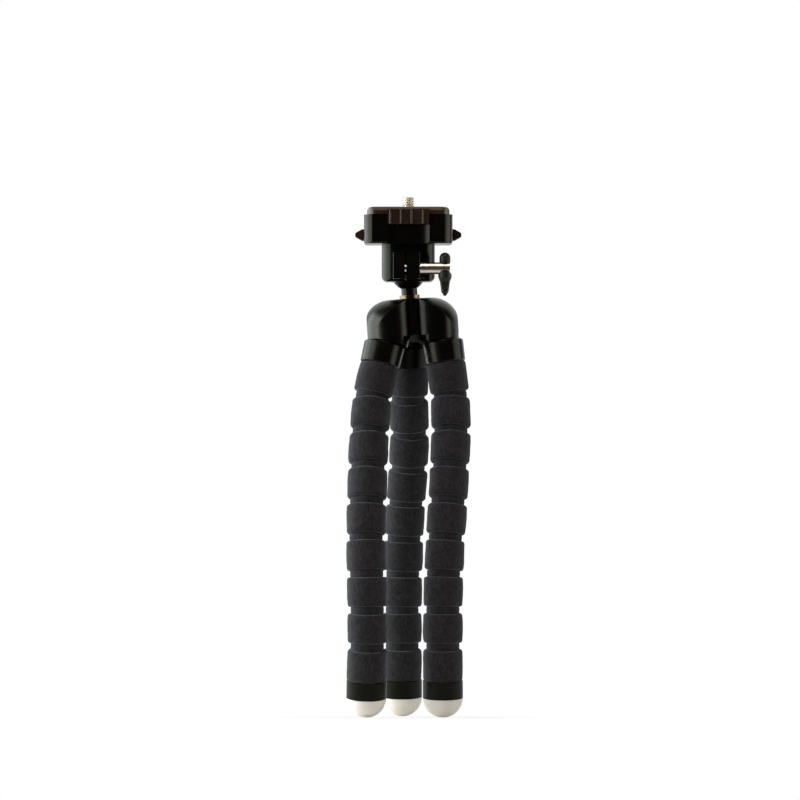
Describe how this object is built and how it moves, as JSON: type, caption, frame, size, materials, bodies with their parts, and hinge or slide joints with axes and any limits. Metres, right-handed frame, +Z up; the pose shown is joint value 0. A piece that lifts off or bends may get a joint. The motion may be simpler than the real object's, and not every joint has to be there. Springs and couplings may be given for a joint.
{
  "type": "flexible leg tripod",
  "caption": "Small camera tripod with bendable foam-ringed legs on core wires, a lobed hub, a lockable ball joint and a quick-release camera plate.",
  "frame": {"origin": "on the floor, straight under the camera screw, with the feet standing on z = 0", "axes": "+Z up along the camera screw, -Y towards the viewer (clamp jaws and bare panel), +X towards the lock lever"},
  "size_m": [0.0645, 0.102, 0.2702],
  "materials": {
    "foam": "matt closed-cell foam",
    "core_wire": "soft drawn wire",
    "ivory_rubber": "smooth ivory rubber",
    "matt_black_plastic": "matt moulded",
    "gloss_black_plastic": "glossy moulded",
    "nylon": "nylon liner",
    "steel": "zinc plated",
    "nickelled_steel": "nickel plated",
    "brass": "bright brass",
    "brown_black_plastic": "satin moulded",
    "pad_rubber": "matt rubber"
  },
  "bodies": {
    "hub": {"hub_shell": "gloss_black_plastic", "hub_spider": "matt_black_plastic", "hub_bolt": "steel", "stem_washer": "brass", "ball_stem": "gloss_black_plastic"},
    "left leg root": {"left_collar": "gloss_black_plastic", "left_foam_1": "foam", "left_core_wire": "core_wire"},
    "left ring 2": {"left_foam_2": "foam"},
    "left ring 3": {"left_foam_3": "foam"},
    "left ring 4": {"left_foam_4": "foam"},
    "left ring 5": {"left_foam_5": "foam"},
    "left ring 6": {"left_foam_6": "foam"},
    "left ring 7": {"left_foam_7": "foam"},
    "left ring 8": {"left_foam_8": "foam"},
    "left ring 9": {"left_foam_9": "foam", "left_ferrule": "gloss_black_plastic", "left_foot": "ivory_rubber"},
    "right leg root": {"right_collar": "gloss_black_plastic", "right_foam_1": "foam", "right_core_wire": "core_wire"},
    "right ring 2": {"right_foam_2": "foam"},
    "right ring 3": {"right_foam_3": "foam"},
    "right ring 4": {"right_foam_4": "foam"},
    "right ring 5": {"right_foam_5": "foam"},
    "right ring 6": {"right_foam_6": "foam"},
    "right ring 7": {"right_foam_7": "foam"},
    "right ring 8": {"right_foam_8": "foam"},
    "right ring 9": {"right_foam_9": "foam", "right_ferrule": "gloss_black_plastic", "right_foot": "ivory_rubber"},
    "rear leg root": {"rear_collar": "gloss_black_plastic", "rear_foam_1": "foam", "rear_core_wire": "core_wire"},
    "rear ring 2": {"rear_foam_2": "foam"},
    "rear ring 3": {"rear_foam_3": "foam"},
    "rear ring 4": {"rear_foam_4": "foam"},
    "rear ring 5": {"rear_foam_5": "foam"},
    "rear ring 6": {"rear_foam_6": "foam"},
    "rear ring 7": {"rear_foam_7": "foam"},
    "rear ring 8": {"rear_foam_8": "foam"},
    "rear ring 9": {"rear_foam_9": "foam", "rear_ferrule": "gloss_black_plastic", "rear_foot": "ivory_rubber"},
    "pan ring": {"ball_retainer_ring": "nylon"},
    "tilt cup": {"ball_friction_cup": "nylon"},
    "head": {"clamp_housing": "gloss_black_plastic", "clamp_nut": "steel", "platform": "gloss_black_plastic", "platform_screws": "steel", "release_springs": "steel"},
    "lock": {"lock_screw": "nickelled_steel", "lock_lever": "matt_black_plastic"},
    "left button": {"release_button_left": "brown_black_plastic"},
    "right button": {"release_button_right": "brown_black_plastic"},
    "quick-release plate": {"quick_release_plate": "brown_black_plastic", "plate_pad": "pad_rubber"},
    "camera screw": {"camera_screw": "brass"}
  },
  "joints": [
    {"name": "head_pan", "type": "hinge", "parent": "hub", "child": "pan ring", "pos_m": [0, 0, 0.23054], "axis": [0, 0, 1], "continuous": true},
    {"name": "head_nod", "type": "hinge", "parent": "pan ring", "child": "tilt cup", "pos_m": [0, 0, 0.23054], "axis": [1, 0, 0], "range_deg": [-15, 15]},
    {"name": "head_sway", "type": "hinge", "parent": "tilt cup", "child": "head", "pos_m": [0, 0, 0.23054], "axis": [0, 1, 0], "range_deg": [-20, 13]},
    {"name": "lock_lever_turn", "type": "hinge", "parent": "head", "child": "lock", "pos_m": [0.0188, -0.017, 0.23284], "axis": [1, 0, 0], "range_deg": [-95, 95]},
    {"name": "release_left_press", "type": "slide", "parent": "head", "child": "left button", "axis": [1, 0, 0], "range_m": [0, 0.0022], "stiffness_N_per_m": 700, "deforming": ["release_springs"]},
    {"name": "release_right_press", "type": "slide", "parent": "head", "child": "right button", "axis": [-1, 0, 0], "range_m": [0, 0.0022], "stiffness_N_per_m": 700, "deforming": ["release_springs"]},
    {"name": "plate_lift", "type": "slide", "parent": "head", "child": "quick-release plate", "axis": [0, 0, 1], "range_m": [0, 0.02]},
    {"name": "camera_screw_turn", "type": "hinge", "parent": "quick-release plate", "child": "camera screw", "pos_m": [0, 0, 0.26494], "axis": [0, 0, 1], "continuous": true},
    {"name": "left_collar_splay", "type": "hinge", "parent": "hub", "child": "left leg root", "pos_m": [-0.0118, -0.00975, 0.19535], "axis": [-0.5736, 0.8192, 0], "range_deg": [-2, 2], "deforming": ["left_core_wire"]},
    {"name": "left_neck_1_splay", "type": "hinge", "parent": "left leg root", "child": "left ring 2", "pos_m": [-0.01869, -0.01457, 0.16603], "axis": [-0.5736, 0.8192, 0], "range_deg": [-5, 14], "deforming": ["left_core_wire"]},
    {"name": "left_neck_2_sway", "type": "hinge", "parent": "left ring 2", "child": "left ring 3", "pos_m": [-0.02027, -0.01933, 0.14791], "axis": [-0.8192, -0.5736, 0], "range_deg": [-14, 14], "deforming": ["left_core_wire"]},
    {"name": "left_neck_3_splay", "type": "hinge", "parent": "left ring 3", "child": "left ring 4", "pos_m": [-0.0209, -0.02451, 0.12985], "axis": [0.5736, -0.8192, 0], "range_deg": [-14, 7], "deforming": ["left_core_wire"]},
    {"name": "left_neck_4_sway", "type": "hinge", "parent": "left ring 4", "child": "left ring 5", "pos_m": [-0.02154, -0.02873, 0.11154], "axis": [0.8192, 0.5736, 0], "range_deg": [-14, 14], "deforming": ["left_core_wire"]},
    {"name": "left_neck_5_splay", "type": "hinge", "parent": "left ring 5", "child": "left ring 6", "pos_m": [-0.02186, -0.032, 0.09303], "axis": [0.5736, -0.8192, 0], "range_deg": [-14, 10], "deforming": ["left_core_wire"]},
    {"name": "left_neck_6_sway", "type": "hinge", "parent": "left ring 6", "child": "left ring 7", "pos_m": [-0.02154, -0.03396, 0.07434], "axis": [0.8192, 0.5736, 0], "range_deg": [-14, 13], "deforming": ["left_core_wire"]},
    {"name": "left_neck_7_splay", "type": "hinge", "parent": "left ring 7", "child": "left ring 8", "pos_m": [-0.02121, -0.03396, 0.05554], "axis": [-0.5736, 0.8192, 0], "range_deg": [-13, 14], "deforming": ["left_core_wire"]},
    {"name": "left_neck_8_sway", "type": "hinge", "parent": "left ring 8", "child": "left ring 9", "pos_m": [-0.02121, -0.03232, 0.03681], "axis": [-0.8192, -0.5736, 0], "range_deg": [-12, 14], "deforming": ["left_core_wire"]},
    {"name": "right_collar_splay", "type": "hinge", "parent": "hub", "child": "right leg root", "pos_m": [0.01748, -0.00718, 0.19714], "axis": [-0.4226, -0.9063, 0], "range_deg": [-2, 2], "deforming": ["right_core_wire"]},
    {"name": "right_neck_1_splay", "type": "hinge", "parent": "right leg root", "child": "right ring 2", "pos_m": [0.0218, -0.0092, 0.16702], "axis": [-0.4226, -0.9063, 0], "range_deg": [-5, 14], "deforming": ["right_core_wire"]},
    {"name": "right_neck_2_sway", "type": "hinge", "parent": "right ring 2", "child": "right ring 3", "pos_m": [0.02212, -0.01308, 0.14862], "axis": [0.9063, -0.4226, 0], "range_deg": [-14, 14], "deforming": ["right_core_wire"]},
    {"name": "right_neck_3_splay", "type": "hinge", "parent": "right ring 3", "child": "right ring 4", "pos_m": [0.02149, -0.01762, 0.13039], "axis": [0.4226, 0.9063, 0], "range_deg": [-14, 7], "deforming": ["right_core_wire"]},
    {"name": "right_neck_4_sway", "type": "hinge", "parent": "right ring 4", "child": "right ring 5", "pos_m": [0.02052, -0.02088, 0.1119], "axis": [-0.9063, 0.4226, 0], "range_deg": [-14, 14], "deforming": ["right_core_wire"]},
    {"name": "right_neck_5_splay", "type": "hinge", "parent": "right ring 5", "child": "right ring 6", "pos_m": [0.01922, -0.02317, 0.09329], "axis": [0.4226, 0.9063, 0], "range_deg": [-14, 10], "deforming": ["right_core_wire"]},
    {"name": "right_neck_6_sway", "type": "hinge", "parent": "right ring 6", "child": "right ring 7", "pos_m": [0.01823, -0.02415, 0.07454], "axis": [-0.9063, 0.4226, 0], "range_deg": [-14, 14], "deforming": ["right_core_wire"]},
    {"name": "right_neck_7_splay", "type": "hinge", "parent": "right ring 7", "child": "right ring 8", "pos_m": [0.01791, -0.02415, 0.05574], "axis": [-0.4226, -0.9063, 0], "range_deg": [-13, 14], "deforming": ["right_core_wire"]},
    {"name": "right_neck_8_sway", "type": "hinge", "parent": "right ring 8", "child": "right ring 9", "pos_m": [0.01791, -0.02284, 0.03699], "axis": [0.9063, -0.4226, 0], "range_deg": [-14, 14], "deforming": ["right_core_wire"]},
    {"name": "rear_collar_splay", "type": "hinge", "parent": "hub", "child": "rear leg root", "pos_m": [0.00062, 0.01694, 0.19611], "axis": [0.9962, 0.0872, 0], "range_deg": [-2, 2], "deforming": ["rear_core_wire"]},
    {"name": "rear_neck_1_splay", "type": "hinge", "parent": "rear leg root", "child": "rear ring 2", "pos_m": [0.00007, 0.02325, 0.16628], "axis": [0.9962, 0.0872, 0], "range_deg": [-5, 13], "deforming": ["rear_core_wire"]},
    {"name": "rear_neck_2_sway", "type": "hinge", "parent": "rear ring 2", "child": "rear ring 3", "pos_m": [0.0007, 0.02868, 0.14829], "axis": [-0.0872, 0.9962, 0], "range_deg": [-14, 14], "deforming": ["rear_core_wire"]},
    {"name": "rear_neck_3_splay", "type": "hinge", "parent": "rear ring 3", "child": "rear ring 4", "pos_m": [0.00007, 0.03386, 0.13023], "axis": [-0.9962, -0.0872, 0], "range_deg": [-14, 7], "deforming": ["rear_core_wire"]},
    {"name": "rear_neck_4_sway", "type": "hinge", "parent": "rear ring 4", "child": "rear ring 5", "pos_m": [-0.00122, 0.03776, 0.11188], "axis": [0.0872, -0.9962, 0], "range_deg": [-14, 14], "deforming": ["rear_core_wire"]},
    {"name": "rear_neck_5_splay", "type": "hinge", "parent": "rear ring 5", "child": "rear ring 6", "pos_m": [-0.00219, 0.04005, 0.09325], "axis": [-0.9962, -0.0872, 0], "range_deg": [-14, 10], "deforming": ["rear_core_wire"]},
    {"name": "rear_neck_6_sway", "type": "hinge", "parent": "rear ring 6", "child": "rear ring 7", "pos_m": [-0.00285, 0.04169, 0.07453], "axis": [0.0872, -0.9962, 0], "range_deg": [-14, 14], "deforming": ["rear_core_wire"]},
    {"name": "rear_neck_7_splay", "type": "hinge", "parent": "rear ring 7", "child": "rear ring 8", "pos_m": [-0.00318, 0.04234, 0.05574], "axis": [0.9962, 0.0872, 0], "range_deg": [-13, 14], "deforming": ["rear_core_wire"]},
    {"name": "rear_neck_8_sway", "type": "hinge", "parent": "rear ring 8", "child": "rear ring 9", "pos_m": [-0.00318, 0.04365, 0.03699], "axis": [-0.0872, 0.9962, 0], "range_deg": [-14, 14], "deforming": ["rear_core_wire"]}
  ]
}
